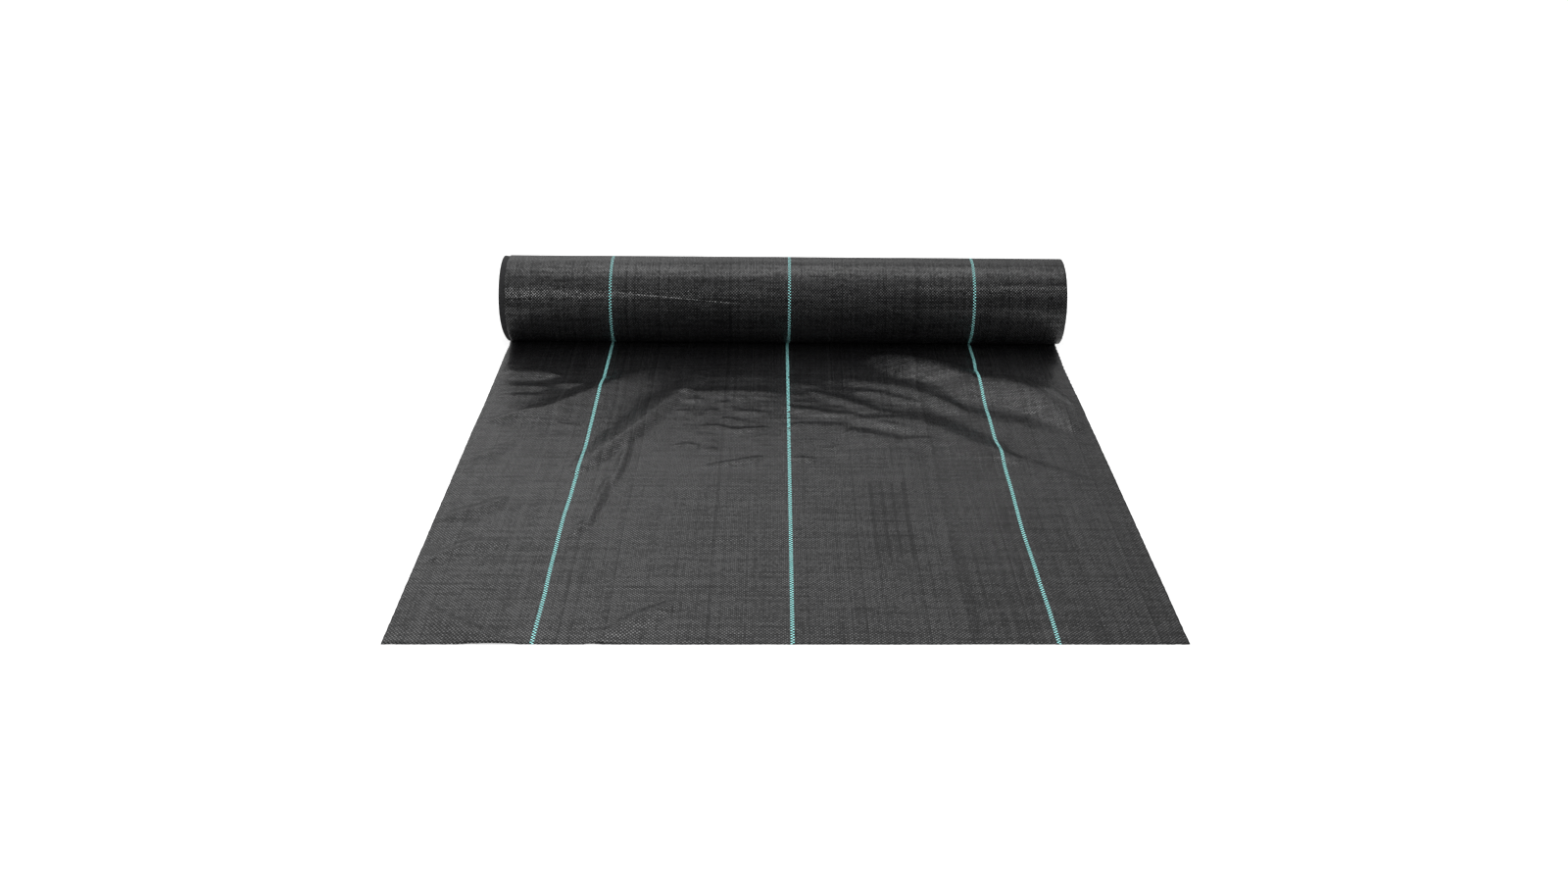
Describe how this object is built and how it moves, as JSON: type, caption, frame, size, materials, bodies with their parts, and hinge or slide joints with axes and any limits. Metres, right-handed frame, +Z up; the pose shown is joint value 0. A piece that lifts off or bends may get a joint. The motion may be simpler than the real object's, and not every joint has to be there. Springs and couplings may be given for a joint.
{
  "type": "landscape fabric roll",
  "caption": "Roll of woven black landscape fabric on a paper tube, its first stretch laid out flat, with teal marker lines.",
  "frame": {"origin": "middle of the whole footprint, on the floor", "axes": "+X along the roll's axis, +Y from the cut front edge towards the roll, +Z up"},
  "size_m": [0.9184, 0.945, 0.142],
  "materials": {
    "black_woven_web": "plain-woven black polypropylene tape, low sheen",
    "teal_marker_tape": "woven-in teal polypropylene tape",
    "kraft_paper": "spiral-wound kraft paper tube"
  },
  "bodies": {
    "laid": {"laid_sheet": "black_woven_web", "sheet_marker_left_1": "teal_marker_tape", "sheet_marker_left_2": "teal_marker_tape", "sheet_marker_centre_1": "teal_marker_tape", "sheet_marker_centre_2": "teal_marker_tape", "sheet_marker_right_1": "teal_marker_tape", "sheet_marker_right_2": "teal_marker_tape"},
    "carriage": {"outer_lap": "black_woven_web", "lap_marker_left_1": "teal_marker_tape", "lap_marker_left_2": "teal_marker_tape", "lap_marker_centre_1": "teal_marker_tape", "lap_marker_centre_2": "teal_marker_tape", "lap_marker_right_1": "teal_marker_tape", "lap_marker_right_2": "teal_marker_tape"},
    "roll": {"wound_pack": "black_woven_web", "core_tube": "kraft_paper"}
  },
  "joints": [
    {"name": "unroll_travel", "type": "slide", "parent": "laid", "child": "carriage", "axis": [0, 1, 0], "range_m": [-0.448, 0.448], "deforming": ["laid_sheet", "sheet_marker_left_1", "sheet_marker_left_2", "sheet_marker_centre_1", "sheet_marker_centre_2", "sheet_marker_right_1", "sheet_marker_right_2"]},
    {"name": "roll_spin", "type": "hinge", "parent": "carriage", "child": "roll", "pos_m": [0, 0.40149, 0.0713], "axis": [1, 0, 0], "range_deg": [-361, 361]}
  ],
  "couplings": [
    {"joint": "roll_spin", "follows": "unroll_travel", "rad_per_m": -14.025}
  ]
}
